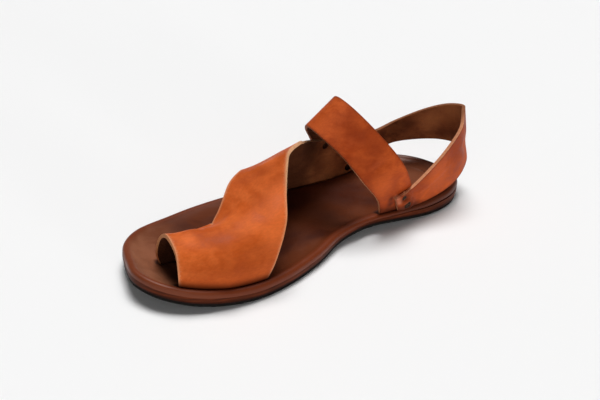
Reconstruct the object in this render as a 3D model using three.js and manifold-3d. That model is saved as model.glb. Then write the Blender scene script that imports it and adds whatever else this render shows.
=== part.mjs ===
// A right leather sandal: toe loop, diagonal vamp, instep strap and heel strap on a layered sole.
// x runs to the outer side of the foot, y to the toe and z up, in millimetres.
// The origin is on the floor, under the middle of the heel.
import * as THREE from 'three';
import { mergeVertices } from 'three/addons/utils/BufferGeometryUtils.js';
import Module from 'manifold-3d';

const wasm = await Module();
wasm.setup();

// Length and widths of the sole
const soleLength = 264;
const ballWidth = 98;
const waistWidth = 68;
const heelWidth = 70;

// Thicknesses of the layers, at the forefoot
const outsoleThickness = 2.0;
const midsoleThickness = 3.6;
const insoleThickness = 4.0;
const layerGap = 0.3;

// How the sole departs from a flat slab
const toeSpring = 8;
const innerArchLift = 4.2;
const outerArchLift = 2.0;
const midsoleWaistThinning = 1.6;
const insoleWaistThinning = 1.2;
const heelWedge = 1.6;
const heelCupRise = 1.5;
const outsoleSetback = 0.5;
const footbedShare = 0.46;
const midsoleSpreadShare = 0.4;

// Leather straps, measured over the middle of their wall
const strapWall = 2.2;
const strapInset = 4.6;
const toeStrapInset = 6.0;
const slotClearance = 0.3;
const toeLoopHeight = 38.5;
const toeLoopSaddle = 1.5;
const vampHeight = 63;
const vampSaddle = 1.2;
const instepHeight = 82;
const heelStrapHeight = 63;
const heelStrapBelly = 0.5;
const strapBite = 0.5;
const footTrim = 0.8;

// Rivets
const rivetHeadRadius = 2.7;
const rivetHeadHeight = 1.1;
const rivetShankRadius = 1.2;
const rivetSink = 0.4;
const rivetClearance = 0.3;
const rivetCrownShare = 0.6;
const rivetRimShare = 0.55;

// Places along the sole, as shares of its length from the back of the heel
const heelRestAlong = 0.10;
const toeBreakAlong = 0.74;
const archCentre = 0.37;
const archReach = 0.24;
const wedgeEnd = 0.32;
const cupEnd = 0.3;

// Outline of the sole from the back of the heel, up the inner side and back down the outer side
const outlineRows = [
  { along: 0.004, side: 0.021, width: heelWidth },
  { along: 0.022, side: -0.243, width: heelWidth },
  { along: 0.080, side: -0.407, width: heelWidth },
  { along: 0.165, side: -0.457, width: heelWidth },
  { along: 0.279, side: -0.424, width: heelWidth },
  { along: 0.379, side: -0.397, width: waistWidth },
  { along: 0.468, side: -0.434, width: waistWidth },
  { along: 0.568, side: -0.398, width: ballWidth },
  { along: 0.679, side: -0.472, width: ballWidth },
  { along: 0.769, side: -0.488, width: ballWidth },
  { along: 0.859, side: -0.444, width: ballWidth },
  { along: 0.930, side: -0.357, width: ballWidth },
  { along: 0.980, side: -0.216, width: ballWidth },
  { along: 0.996, side: -0.052, width: ballWidth },
  { along: 0.982, side: 0.112, width: ballWidth },
  { along: 0.948, side: 0.284, width: ballWidth },
  { along: 0.874, side: 0.413, width: ballWidth },
  { along: 0.761, side: 0.488, width: ballWidth },
  { along: 0.650, side: 0.503, width: ballWidth },
  { along: 0.540, side: 0.483, width: ballWidth },
  { along: 0.420, side: 0.607, width: waistWidth },
  { along: 0.300, side: 0.559, width: waistWidth },
  { along: 0.179, side: 0.529, width: heelWidth },
  { along: 0.083, side: 0.471, width: heelWidth },
  { along: 0.024, side: 0.271, width: heelWidth },
];

// Section of the insole's rim: distance in from the edge, and height as a share of its thickness
const rimRows = [
  { inset: 0.4, share: 0 },
  { inset: 0.0, share: 0.35 },
  { inset: 0.5, share: 0.74 },
  { inset: 1.8, share: 0.96 },
  { inset: 3.4, share: 1.0 },
  { inset: 6.0, share: 0.86 },
  { inset: 9.5, share: 0.66 },
  { inset: 13.0, share: 0.55 },
];

// Front edge of the toe loop, from the inner side of the sole over the big toe to the slot
const toeLoopRows = [
  { along: 0.930, inset: toeStrapInset },
  { along: 0.939, side: -0.58, up: 0.62 },
  { along: 0.935, side: -0.46, up: 0.89 },
  { along: 0.929, side: -0.23, up: 1.00 },
  { along: 0.919, side: -0.02, up: 0.79 },
  { along: 0.914, side: 0.07, up: 0.46 },
  { along: 0.903, side: 0.07, sunk: true },
];

// Rear of the toe loop, from the notch between the toes down to the slot
const toeLoopTailRows = [
  { along: 0.780, side: -0.045, up: 0.76 },
  { along: 0.800, side: 0.08, up: 0.48 },
  { along: 0.830, side: 0.08, sunk: true },
];

// Front edge of the vamp: over the big toe joint to the notch, then over the ball to the outer side
const vampFrontRows = [
  { along: 0.840, inset: strapInset, valley: 0 },
  { along: 0.835, side: -0.857, up: 0.38, valley: 0 },
  { along: 0.822, side: -0.68, up: 0.57, valley: 0 },
  { along: 0.800, side: -0.37, up: 0.595, valley: 0.03 },
  { along: 0.780, side: -0.045, up: 0.44, valley: 0.14 },
  { along: 0.749, side: 0.045, up: 0.55, valley: 0.09 },
  { along: 0.708, side: 0.19, up: 0.695, valley: 0.04 },
  { along: 0.657, side: 0.327, up: 0.75, valley: 0 },
  { along: 0.613, side: 0.54, up: 0.65, valley: 0 },
  { along: 0.572, side: 0.78, up: 0.44, valley: 0 },
  { along: 0.545, inset: strapInset, outer: true, valley: 0 },
];

// Rear edge of the vamp, from the inner side of the sole towards the crest where the quarter begins
const vampRearRows = [
  { along: 0.744, inset: strapInset },
  { along: 0.720, side: -0.896, up: 0.327 },
  { along: 0.679, side: -0.773, up: 0.637 },
  { along: 0.654, side: -0.60, up: 0.79 },
  { along: 0.630, side: -0.427, up: 0.897 },
  { along: 0.598, side: -0.255, up: 0.968 },
  { along: 0.565, side: -0.082, up: 1.0 },
  { along: 0.501, side: 0.18, up: 0.948 },
];

// Top edge of the quarter and heel strap, from the crest round the heel to its riveted end
const heelTopRows = [
  { along: 0.454, side: 0.626, up: 0.768 },
  { along: 0.409, side: 0.751, up: 0.730 },
  { along: 0.342, side: 0.823, up: 0.668 },
  { along: 0.252, side: 0.849, up: 0.606 },
  { along: 0.164, side: 0.834, up: 0.598 },
  { along: 0.098, side: 0.780, up: 0.684 },
  { along: 0.039, side: 0.497, up: 0.803 },
  { along: 0.008, side: 0.154, up: 0.902 },
  { along: 0.007, side: -0.249, up: 0.976 },
  { along: 0.041, side: -0.500, up: 1.003 },
  { along: 0.078, side: -0.743, up: 0.890 },
  { along: 0.134, side: -0.806, up: 0.722 },
  { along: 0.206, side: -0.814, up: 0.524 },
  { along: 0.299, side: -0.851, up: 0.365 },
];

// Lower edge of the same piece, first in the sole and then free
const heelLowRows = [
  { along: 0.410, inset: strapInset, outer: true },
  { along: 0.372, inset: strapInset, outer: true },
  { along: 0.318, inset: strapInset, outer: true },
  { along: 0.240, inset: strapInset, outer: true },
  { along: 0.181, side: 0.820, up: 0.305 },
  { along: 0.119, side: 0.754, up: 0.413 },
  { along: 0.052, side: 0.594, up: 0.424 },
  { along: -0.006, side: 0.243, up: 0.441 },
  { along: -0.019, side: -0.171, up: 0.457 },
  { along: -0.005, side: -0.454, up: 0.408 },
  { along: 0.039, side: -0.669, up: 0.310 },
  { along: 0.102, side: -0.786, up: 0.228 },
  { along: 0.182, side: -0.857, up: 0.194 },
  { along: 0.272, side: -0.843, up: 0.186 },
];

// Instep strap, from the inner side of the sole over the instep to its end on the quarter
const instepFrontRows = [
  { along: 0.325, inset: strapInset },
  { along: 0.357, side: -0.832, up: 0.295 },
  { along: 0.406, side: -0.771, up: 0.489 },
  { along: 0.444, side: -0.450, up: 0.684 },
  { along: 0.463, side: -0.006, up: 0.784 },
  { along: 0.459, side: 0.462, up: 0.794 },
  { along: 0.424, side: 0.753, up: 0.679 },
  { along: 0.384, side: 0.871, up: 0.512 },
  { along: 0.358, side: 0.976, up: 0.317 },
  { along: 0.341, side: 1.029, up: 0.165 },
];
const instepRearRows = [
  { along: 0.250, inset: strapInset },
  { along: 0.267, side: -0.868, up: 0.305 },
  { along: 0.296, side: -0.912, up: 0.567 },
  { along: 0.350, side: -0.556, up: 0.837 },
  { along: 0.382, side: -0.088, up: 0.979 },
  { along: 0.380, side: 0.385, up: 0.996 },
  { along: 0.343, side: 0.765, up: 0.844 },
  { along: 0.303, side: 0.924, up: 0.561 },
  { along: 0.250, side: 0.968, up: 0.329 },
  { along: 0.223, side: 1.000, up: 0.165 },
];

// Places of the rivets: share along the heel piece and share down it
const heelRivetRows = [
  { name: 'heel_strap_rivet_upper', along: 0.985, down: 0.25 },
  { name: 'heel_strap_rivet_lower', along: 0.983, down: 0.82 },
];
const quarterRivetRows = [
  { name: 'quarter_rivet_upper', along: 0.150, down: 0.12 },
  { name: 'quarter_rivet_lower', along: 0.231, down: 0.78 },
];

// Fineness of the meshes
const outlineSteps = 80;
const capSteps = 6;
const stepsPerRow = 3;
const loopRows = 5;
const vampRows = 9;
const quarterSteps = 6;
const instepColumns = 4;
const footFadeColumns = 7;
const rivetSegments = 20;
const weldStep = 0.01;
const weldReach = 1e-4;

// A smooth window: one at its centre and nothing beyond its reach
function window(position, centre, reach) {
  const distance = Math.min(1, Math.abs(position - centre) / reach);
  return Math.cos((distance * Math.PI) / 2) ** 2;
}

// A smooth fall from one at the heel to nothing at a given share of the length
function heelFade(position, end) {
  const rest = THREE.MathUtils.clamp(1 - position / end, 0, 1);
  return rest * rest * (3 - 2 * rest);
}

// A smooth hump: one halfway and nothing at both ends
function hump(share) {
  return 4 * share * (1 - share);
}

// Height of the underside of the sole
function floorHeight(x, y) {
  const along = y / soleLength;
  const toe = Math.max(0, (along - toeBreakAlong) / (1 - toeBreakAlong));
  const outerShare = THREE.MathUtils.clamp(0.5 + x / waistWidth, 0, 1);
  const arch = THREE.MathUtils.lerp(innerArchLift, outerArchLift, outerShare);
  return toeSpring * toe * toe + arch * window(along, archCentre, archReach);
}

function midsoleTop(x, y) {
  const along = y / soleLength;
  const thinning = midsoleWaistThinning * window(along, archCentre, archReach);
  const wedge = heelWedge * heelFade(along, wedgeEnd);
  return floorHeight(x, y) + outsoleThickness + layerGap + midsoleThickness - thinning + wedge;
}

function insoleBottom(x, y) {
  return midsoleTop(x, y) + layerGap;
}

// Height of the insole's upper side at a share of its thickness
function insoleHeight(x, y, share) {
  const along = y / soleLength;
  const thinning = insoleWaistThinning * window(along, archCentre, archReach);
  const cup = heelCupRise * heelFade(along, cupEnd);
  return insoleBottom(x, y) + share * (insoleThickness - thinning + cup);
}

const outlineCurve = new THREE.CatmullRomCurve3(
  outlineRows.map((row) => new THREE.Vector3(row.side * row.width, row.along * soleLength, 0)),
  true,
  'centripetal',
);
const outlinePoints = outlineCurve.getSpacedPoints(outlineSteps).slice(0, outlineSteps);

// The outline moved inwards by an even distance
function insetOutline(distance) {
  return outlinePoints.map((point, index) => {
    const before = outlinePoints[(index + outlineSteps - 1) % outlineSteps];
    const after = outlinePoints[(index + 1) % outlineSteps];
    const run = after.clone().sub(before).normalize();
    return new THREE.Vector3(point.x + run.y * distance, point.y - run.x * distance, 0);
  });
}

// The point of the inset outline at a share of the length, on the inner or the outer side
function edgePoint(along, distance, outer) {
  const ring = insetOutline(distance);
  const half = outlineSteps / 2;
  const side = outer ? [...ring.slice(half), ring[0]].reverse() : ring.slice(0, half + 1);
  const y = along * soleLength;
  const above = side.findIndex((point, index) => index > 0 && point.y >= y);
  const upper = side[above];
  const lower = side[above - 1];
  return lower.clone().lerp(upper, (y - lower.y) / (upper.y - lower.y));
}

// A mesh that grows vertex by vertex
function newMesh() {
  return { points: [], faces: [] };
}

function addPoint(mesh, x, y, z) {
  mesh.points.push(new THREE.Vector3(x, y, z));
  return mesh.points.length - 1;
}

// Faces between two rows of vertices, where a row of one vertex makes a fan
function addStrip(mesh, lowerRow, upperRow, turned) {
  const steps = Math.max(lowerRow.length, upperRow.length) - 1;
  const at = (row, index) => row[Math.min(index, row.length - 1)];
  for (let index = 0; index < steps; index += 1) {
    const low = [at(lowerRow, index), at(lowerRow, index + 1)];
    const high = [at(upperRow, index + 1), at(upperRow, index)];
    const corners = [...low, ...high];
    const [a, b, c, d] = turned ? corners.reverse() : corners;
    if (a !== b && b !== c && c !== a) mesh.faces.push([a, b, c]);
    if (a !== c && c !== d && d !== a) mesh.faces.push([a, c, d]);
  }
}

// Closes a ring with chords from its inner side to its outer side
function addCap(mesh, ring, height, turned) {
  const half = ring.length / 2;
  let previous = [ring[0]];
  for (let index = 1; index <= half; index += 1) {
    const row = [ring[index]];
    if (index < half) {
      const from = mesh.points[ring[index]];
      const to = mesh.points[ring[ring.length - index]];
      for (let step = 1; step < capSteps; step += 1) {
        const share = step / capSteps;
        const x = THREE.MathUtils.lerp(from.x, to.x, share);
        const y = THREE.MathUtils.lerp(from.y, to.y, share);
        row.push(addPoint(mesh, x, y, height(x, y, hump(share))));
      }
      row.push(ring[ring.length - index]);
    }
    addStrip(mesh, previous, row, turned);
    previous = row;
  }
}

// A layer of the sole: rings from its underside to its upper side, closed by two caps
function soleLayer(rings, lowHeight, highHeight) {
  const mesh = newMesh();
  const rows = rings.map((ring) => {
    return insetOutline(ring.inset).map(({ x, y }) => addPoint(mesh, x, y, ring.height(x, y)));
  });
  for (let index = 1; index < rows.length; index += 1) {
    const lower = [...rows[index - 1], rows[index - 1][0]];
    const upper = [...rows[index], rows[index][0]];
    addStrip(mesh, lower, upper, true);
  }
  addCap(mesh, rows[0], lowHeight, true);
  addCap(mesh, rows[rows.length - 1], highHeight, false);
  return mesh;
}

function makeOutsole() {
  const top = (x, y) => floorHeight(x, y) + outsoleThickness;
  const rings = [
    { inset: outsoleSetback, height: floorHeight },
    { inset: outsoleSetback, height: top },
  ];
  return soleLayer(rings, floorHeight, top);
}

function makeMidsole() {
  const bottom = (x, y) => floorHeight(x, y) + outsoleThickness + layerGap;
  const middle = (x, y) => THREE.MathUtils.lerp(bottom(x, y), midsoleTop(x, y), midsoleSpreadShare);
  const rings = [
    { inset: outsoleSetback, height: bottom },
    { inset: 0, height: middle },
    { inset: 0, height: midsoleTop },
  ];
  return soleLayer(rings, bottom, midsoleTop);
}

function makeInsole() {
  const rings = rimRows.map(({ inset, share }) => {
    return { inset, height: (x, y) => insoleHeight(x, y, share) };
  });
  const rimShare = rimRows[rimRows.length - 1].share;
  const footbed = (x, y, middle = 0) => {
    return insoleHeight(x, y, THREE.MathUtils.lerp(rimShare, footbedShare, middle));
  };
  return soleLayer(rings, insoleBottom, footbed);
}

// A point of a strap's edge, from its row in a table and the sizes that the row follows
function strapPoint(row, width, height, drop) {
  if (row.inset !== undefined) {
    const foot = edgePoint(row.along, row.inset, row.outer === true);
    return foot.setZ(insoleBottom(foot.x, foot.y) - drop);
  }
  const x = (row.side * width) / 2;
  const y = row.along * soleLength;
  return new THREE.Vector3(x, y, row.sunk ? insoleBottom(x, y) - drop : row.up * height);
}

function strapPoints(rows, width, height, drop) {
  return rows.map((row) => strapPoint(row, width, height, drop));
}

// A smooth curve through points, with even steps between them
function smoothEdge(points) {
  const curve = new THREE.CatmullRomCurve3(points, false, 'centripetal');
  return curve.getPoints((points.length - 1) * stepsPerRow);
}

// A grid of points between two edges, which sags to a saddle between them
function blendEdges(first, last, steps, saddle) {
  return Array.from({ length: steps + 1 }, (_, row) => {
    const share = row / steps;
    return first.map((point, column) => {
      const blended = point.clone().lerp(last[column], share);
      const top = Math.sin((Math.PI * column) / (first.length - 1));
      return blended.setZ(blended.z - saddle * hump(share) * top);
    });
  });
}

// Keeps the foot of each row on the inset outline, and fades the move out up the strap
function followOutline(grid, firstInset, lastInset, outer) {
  return grid.map((row, index) => {
    const foot = outer ? row[row.length - 1] : row[0];
    const inset = THREE.MathUtils.lerp(firstInset, lastInset, index / (grid.length - 1));
    const move = edgePoint(foot.y / soleLength, inset, outer).x - foot.x;
    return row.map((point, column) => {
      const away = outer ? row.length - 1 - column : column;
      const fade = Math.max(0, 1 - away / footFadeColumns) ** 2;
      return point.clone().setX(point.x + move * fade);
    });
  });
}

// The vamp's rear edge and the top edge of quarter and heel strap are one smooth cut
function longEdge(drop) {
  const rear = strapPoints(vampRearRows, ballWidth, vampHeight, drop);
  const top = strapPoints(heelTopRows, heelWidth, heelStrapHeight, drop);
  const points = smoothEdge([...rear, ...top]);
  const crest = rear.length * stepsPerRow;
  return { rear: points.slice(0, crest), top: points.slice(crest) };
}

// The quarter and heel strap: one row for each station, from its top edge to its lower edge
function heelGrid(top, drop) {
  const low = smoothEdge(strapPoints(heelLowRows, heelWidth, heelStrapHeight, drop));
  return top.map((upper, station) => {
    return Array.from({ length: quarterSteps + 1 }, (_, column) => {
      const share = column / quarterSteps;
      const point = upper.clone().lerp(low[station], share);
      const out = new THREE.Vector3(point.x, Math.min(0, point.y - heelWidth / 2), 0).normalize();
      return point.addScaledVector(out, heelStrapBelly * hump(share));
    });
  });
}

// The vamp, whose last columns run down the front of the quarter
function vampGrid(rear, heel, drop) {
  const front = smoothEdge(strapPoints(vampFrontRows, ballWidth, vampHeight, drop));
  const valleys = smoothEdge(vampFrontRows.map((row) => new THREE.Vector3(0, 0, row.valley * vampHeight)));
  const smooth = front.map((point, column) => point.clone().setZ(point.z + valleys[column].z));
  const grid = blendEdges(smooth, [...rear, ...heel[0]], vampRows, vampSaddle);
  const cut = grid.map((row, index) => {
    const fade = (1 - index / vampRows) ** 3;
    return row.map((point, column) => point.clone().setZ(point.z - valleys[column].z * fade));
  });
  return followOutline(followOutline(cut, strapInset, strapInset, false), strapInset, strapInset, true);
}

// The toe loop, whose last row is the vamp's first as far as the notch
function toeLoopGrid(vamp, drop) {
  const front = smoothEdge(strapPoints(toeLoopRows, ballWidth, toeLoopHeight, drop));
  const tail = smoothEdge(strapPoints(toeLoopTailRows, ballWidth, toeLoopHeight, drop));
  const notchColumn = front.length - tail.length;
  const last = [...vamp[0].slice(0, notchColumn), ...tail];
  const grid = blendEdges(front, last, loopRows, toeLoopSaddle);
  return followOutline(grid, toeStrapInset, strapInset, false);
}

function instepGrid(drop) {
  const front = smoothEdge(strapPoints(instepFrontRows, waistWidth, instepHeight, drop));
  const rear = smoothEdge(strapPoints(instepRearRows, waistWidth, instepHeight, drop));
  return blendEdges(front, rear, instepColumns, 0);
}

// How far out a grid lies at a height and place along the shoe, or nothing beside it
function sideOf(grid, y, z, outer) {
  const sign = outer ? 1 : -1;
  for (let row = 1; row < grid.length; row += 1) {
    for (let column = 1; column < grid[row].length; column += 1) {
      const [near, far] = [grid[row - 1], grid[row]];
      const corners = [near[column - 1], far[column - 1], far[column], near[column]];
      if (corners.some((corner) => corner.x * sign < 0)) continue;
      for (const [a, b, c] of [[corners[0], corners[1], corners[2]], [corners[0], corners[2], corners[3]]]) {
        const area = (b.y - a.y) * (c.z - a.z) - (c.y - a.y) * (b.z - a.z);
        const u = ((y - a.y) * (c.z - a.z) - (c.y - a.y) * (z - a.z)) / area;
        const v = ((b.y - a.y) * (z - a.z) - (y - a.y) * (b.z - a.z)) / area;
        if (u >= 0 && v >= 0 && u + v <= 1) return a.x + u * (b.x - a.x) + v * (c.x - a.x);
      }
    }
  }
  return undefined;
}

// Lays one grid on the outside of another, bitten in so that the two leathers are one
function seatOutside(grid, under, outer) {
  const sign = outer ? 1 : -1;
  const reach = strapWall - strapBite;
  return grid.map((row) => row.map((point) => {
    if (point.x * sign < 0) return point;
    const side = sideOf(under, point.y, point.z, outer);
    if (side === undefined) return point;
    return point.clone().setX(side + sign * reach);
  }));
}

// Joins grids into one surface with shared vertices
function joinGrids(grids) {
  const mesh = newMesh();
  const known = new Map();
  const indexOf = (point) => {
    const key = point.toArray().map((value) => Math.round(value / weldStep)).join();
    if (!known.has(key)) known.set(key, addPoint(mesh, point.x, point.y, point.z));
    return known.get(key);
  };
  for (const grid of grids) {
    const rows = grid.map((row) => row.map(indexOf));
    for (let row = 1; row < rows.length; row += 1) addStrip(mesh, rows[row - 1], rows[row], true);
  }
  return mesh;
}

// Gives a surface its wall, closed along its open edges, and may grow it past them
function thicken(surface, wall, grow) {
  const normals = surface.points.map(() => new THREE.Vector3());
  const directed = new Set();
  for (const [a, b, c] of surface.faces) {
    const [pa, pb, pc] = [a, b, c].map((index) => surface.points[index]);
    const normal = pb.clone().sub(pa).cross(pc.clone().sub(pa));
    for (const index of [a, b, c]) normals[index].add(normal);
    for (const [from, to] of [[a, b], [b, c], [c, a]]) directed.add(`${from},${to}`);
  }
  normals.forEach((normal) => normal.normalize());
  const edges = [...directed].map((key) => key.split(',').map(Number));
  const open = edges.filter(([a, b]) => !directed.has(`${b},${a}`));
  const pushes = surface.points.map(() => new THREE.Vector3());
  for (const [from, to] of open) {
    const run = surface.points[to].clone().sub(surface.points[from]).normalize();
    pushes[from].add(run.clone().cross(normals[from]));
    pushes[to].add(run.clone().cross(normals[to]));
  }
  const mesh = newMesh();
  const count = surface.points.length;
  for (const half of [wall / 2, -wall / 2]) {
    surface.points.forEach((point, index) => {
      const moved = point.clone().addScaledVector(normals[index], half);
      moved.addScaledVector(pushes[index].normalize(), grow);
      addPoint(mesh, moved.x, moved.y, moved.z);
    });
  }
  for (const [a, b, c] of surface.faces) mesh.faces.push([a, b, c], [c + count, b + count, a + count]);
  for (const [a, b] of open) mesh.faces.push([b, a, a + count], [b, a + count, b + count]);
  return mesh;
}

function toManifold(mesh) {
  const vertProperties = new Float32Array(mesh.points.flatMap((point) => point.toArray()));
  const triVerts = new Uint32Array(mesh.faces.flat());
  return new wasm.Manifold(new wasm.Mesh({ numProp: 3, vertProperties, triVerts }));
}

function geometryToManifold(geometry) {
  geometry.deleteAttribute('normal');
  geometry.deleteAttribute('uv');
  const merged = mergeVertices(geometry, weldReach);
  const vertProperties = new Float32Array(merged.attributes.position.array);
  const triVerts = new Uint32Array(merged.index.array);
  return new wasm.Manifold(new wasm.Mesh({ numProp: 3, vertProperties, triVerts }));
}

function toGeometry(solid) {
  const { numProp, vertProperties, triVerts } = solid.getMesh();
  const positions = new Float32Array((vertProperties.length / numProp) * 3);
  for (let index = 0; index < positions.length / 3; index += 1) {
    for (let axis = 0; axis < 3; axis += 1) {
      positions[index * 3 + axis] = vertProperties[index * numProp + axis];
    }
  }
  const geometry = new THREE.BufferGeometry();
  geometry.setAttribute('position', new THREE.BufferAttribute(positions, 3));
  geometry.setIndex(new THREE.BufferAttribute(new Uint32Array(triVerts), 1));
  geometry.computeVertexNormals();
  return geometry;
}

// The straps' middle surfaces, with their feet sunk below the insole's underside by the drop
function strapSurfaces(drop) {
  const edge = longEdge(drop);
  const heel = heelGrid(edge.top, drop);
  const instep = seatOutside(instepGrid(drop), heel, true);
  const vamp = vampGrid(edge.rear, heel, drop);
  const toeLoop = toeLoopGrid(vamp, drop);
  const heelSeated = seatOutside(heel, instep, false);
  return { heel: heelSeated, main: joinGrids([toeLoop, vamp, heelSeated]), instep: joinGrids([instep]) };
}

function strapSolid(surfaces, wall, grow) {
  const main = toManifold(thicken(surfaces.main, wall, grow));
  const instep = toManifold(thicken(surfaces.instep, wall, grow));
  return main.add(instep);
}

// A place on a grid and the direction that faces out of the leather there
function gridPlace(grid, alongShare, downShare) {
  const place = alongShare * (grid.length - 1);
  const row = Math.floor(place);
  const column = downShare * (grid[0].length - 1);
  const low = Math.floor(column);
  const [nearHigh, nearLow] = [grid[row][low], grid[row][low + 1]];
  const [farHigh, farLow] = [grid[row + 1][low], grid[row + 1][low + 1]];
  const near = nearHigh.clone().lerp(nearLow, column - low);
  const far = farHigh.clone().lerp(farLow, column - low);
  const point = near.clone().lerp(far, place - row);
  const normal = farLow.clone().sub(nearHigh).cross(nearLow.clone().sub(farHigh)).normalize();
  return { point, normal };
}

// A rivet on its own axis: a head above, a shank through the leather and a head below
function rivetGeometry(top, bottom, grow) {
  const head = rivetHeadRadius + grow;
  const shank = rivetShankRadius + grow;
  const rim = rivetRimShare * rivetHeadHeight;
  const crown = rivetCrownShare * head;
  const topSeat = top - rivetSink - grow;
  const bottomSeat = bottom + rivetSink + grow;
  const profile = [
    [0, bottomSeat - rivetHeadHeight - grow * 2],
    [crown, bottomSeat - rivetHeadHeight - grow * 2],
    [head, bottomSeat - rim - grow * 2],
    [head, bottomSeat],
    [shank, bottomSeat],
    [shank, topSeat],
    [head, topSeat],
    [head, topSeat + rim + grow * 2],
    [crown, topSeat + rivetHeadHeight + grow * 2],
    [0, topSeat + rivetHeadHeight + grow * 2],
  ];
  const points = profile.map(([radius, height]) => new THREE.Vector2(radius, height));
  return new THREE.LatheGeometry(points, rivetSegments);
}

// A rivet set in its place, through both leathers
function rivetSolid(place, above, below, grow) {
  const geometry = rivetGeometry(above, -below, grow);
  const turn = new THREE.Quaternion().setFromUnitVectors(new THREE.Vector3(0, 1, 0), place.normal);
  geometry.applyQuaternion(turn);
  geometry.translate(place.point.x, place.point.y, place.point.z);
  return geometryToManifold(geometry);
}

const leatherTan = { color: 0xb5562a, roughness: 0.6, metalness: 0 };
const leatherBrown = { color: 0x4a2415, roughness: 0.45, metalness: 0 };
const leatherEdge = { color: 0x5a2b18, roughness: 0.5, metalness: 0 };
const blackRubber = { color: 0x161412, roughness: 0.85, metalness: 0 };
const darkMetal = { color: 0x3a2418, roughness: 0.4, metalness: 0.8 };

const sandal = new THREE.Group();
sandal.position.y = -heelRestAlong * soleLength;

function addPiece(name, solid, finish) {
  const mesh = new THREE.Mesh(toGeometry(solid), new THREE.MeshStandardMaterial(finish));
  mesh.name = name;
  sandal.add(mesh);
}

const midsole = toManifold(makeMidsole());
const straps = strapSurfaces(footTrim);
const slots = strapSolid(straps, strapWall + 2 * slotClearance, slotClearance);
let upper = strapSolid(straps, strapWall, 0).subtract(midsole.translate([0, 0, layerGap]));

const outerReach = strapWall / 2;
const stackReach = strapWall * 1.5 - strapBite;
const rivets = [
  ...heelRivetRows.map((row) => ({ row, above: outerReach, below: stackReach })),
  ...quarterRivetRows.map((row) => ({ row, above: stackReach, below: outerReach })),
];
for (const rivet of rivets) {
  rivet.place = gridPlace(straps.heel, rivet.row.along, rivet.row.down);
  upper = upper.subtract(rivetSolid(rivet.place, rivet.above, rivet.below, rivetClearance));
}

addPiece('outsole', toManifold(makeOutsole()), blackRubber);
addPiece('midsole', midsole, leatherEdge);
addPiece('insole', toManifold(makeInsole()).subtract(slots), leatherBrown);
addPiece('upper', upper, leatherTan);
for (const rivet of rivets) {
  addPiece(rivet.row.name, rivetSolid(rivet.place, rivet.above, rivet.below, 0), darkMetal);
}

export default sandal;
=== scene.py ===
"""A right leather sandal on a pale floor.

It has orange straps with pale cut edges, a dark moulded footbed and dark rivets.

Lengths are in millimetres until a point is written to a mesh, which is in metres.
Along the shoe, tables count from the back of the heel, as shares of the sole's length.
"""
import math

import bpy
from mathutils import Matrix, Vector
from mathutils.kdtree import KDTree


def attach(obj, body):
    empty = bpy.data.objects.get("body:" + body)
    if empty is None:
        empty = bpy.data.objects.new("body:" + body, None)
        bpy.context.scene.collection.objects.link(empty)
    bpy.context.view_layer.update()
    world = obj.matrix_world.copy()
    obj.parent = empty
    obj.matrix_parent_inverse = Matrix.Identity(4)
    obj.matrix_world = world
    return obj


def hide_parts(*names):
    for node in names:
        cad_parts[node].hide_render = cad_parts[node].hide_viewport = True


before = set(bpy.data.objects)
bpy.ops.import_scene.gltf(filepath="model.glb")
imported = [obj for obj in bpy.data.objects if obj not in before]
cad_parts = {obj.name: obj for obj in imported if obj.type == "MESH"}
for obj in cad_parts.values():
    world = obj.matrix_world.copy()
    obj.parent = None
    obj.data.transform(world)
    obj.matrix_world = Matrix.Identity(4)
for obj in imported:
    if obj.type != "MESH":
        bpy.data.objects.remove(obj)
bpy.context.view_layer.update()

MM = 0.001

# Length and widths of the sole
SOLE_LENGTH = 264
BALL_WIDTH = 98
WAIST_WIDTH = 68
HEEL_WIDTH = 70

# Thicknesses of the layers, at the forefoot
OUTSOLE_THICKNESS = 2.0
MIDSOLE_THICKNESS = 3.6
INSOLE_THICKNESS = 4.0
LAYER_GAP = 0.3
LAYER_CLEARANCE = 0.05

# How the sole departs from a flat slab
TOE_SPRING = 8
INNER_ARCH_LIFT = 4.2
OUTER_ARCH_LIFT = 2.0
MIDSOLE_WAIST_THINNING = 1.6
INSOLE_WAIST_THINNING = 1.2
HEEL_WEDGE = 1.6
HEEL_CUP_RISE = 1.5
FOOTBED_SHARE = 0.46

# Leather straps, measured over the middle of their wall
STRAP_WALL = 2.2
EDGE_BREAK = 0.42
STRAP_INSET = 4.6
INNER_FOOT_INSET = 6.0
TOE_STRAP_INSET = 7.0
TOE_LOOP_HEIGHT = 38.5
TOE_LOOP_SADDLE = 1.5
VAMP_HEIGHT = 63
VAMP_SADDLE = 1.2
INSTEP_HEIGHT = 82
HEEL_STRAP_HEIGHT = 63
HEEL_STRAP_BELLY = 0.5

# Details of the insole and midsole: rim, seam round the heel, grooves at the straps' feet, and the reaches of
# painted shade and dirt beside the grooves and of painted shade low on the sole's side
RIM_WIDTH = 9
SEAM_TUCK = 1.3
GROOVE_DEPTH = 1.8
GROOVE_REACH = 2.0
SLOT_SHADE_AND_DIRT_REACH = 4.5
LOW_SHADE_HEIGHT = 2.6

# Shares of the insole's thickness: the seam has faded out at the first, and grooves lie above the other
SEAM_SHARE = 0.2
GROOVE_SHARE = 0.45

# Places along the sole, as shares of its length
HEEL_REST_ALONG = 0.10
TOE_BREAK_ALONG = 0.74
ARCH_CENTRE = 0.37
ARCH_REACH = 0.24
WEDGE_END = 0.32
CUP_END = 0.3
SEAM_END = 0.42

# Fineness of the sheets and rings
STEPS_PER_ROW = 6
LOOP_ROWS = 10
VAMP_ROWS = 18
QUARTER_STEPS = 12
FOOT_STEPS = 6
INSTEP_COLUMNS = 12
FOOT_FADE_COLUMNS = 14
SEAT_RUN = 14
OUTLINE_STEPS = 40
RING_STEPS = 240
RIM_STEPS = 2
BED_STEPS = 26

# Vertices of joined sheets merge within this distance, and faces that meet at less than an angle look smooth
MERGE_DISTANCE = 0.05
SOLE_SMOOTH_ANGLE = 35
STRAP_SMOOTH_ANGLE = 50
BREAK_ANGLE = 55

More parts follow.
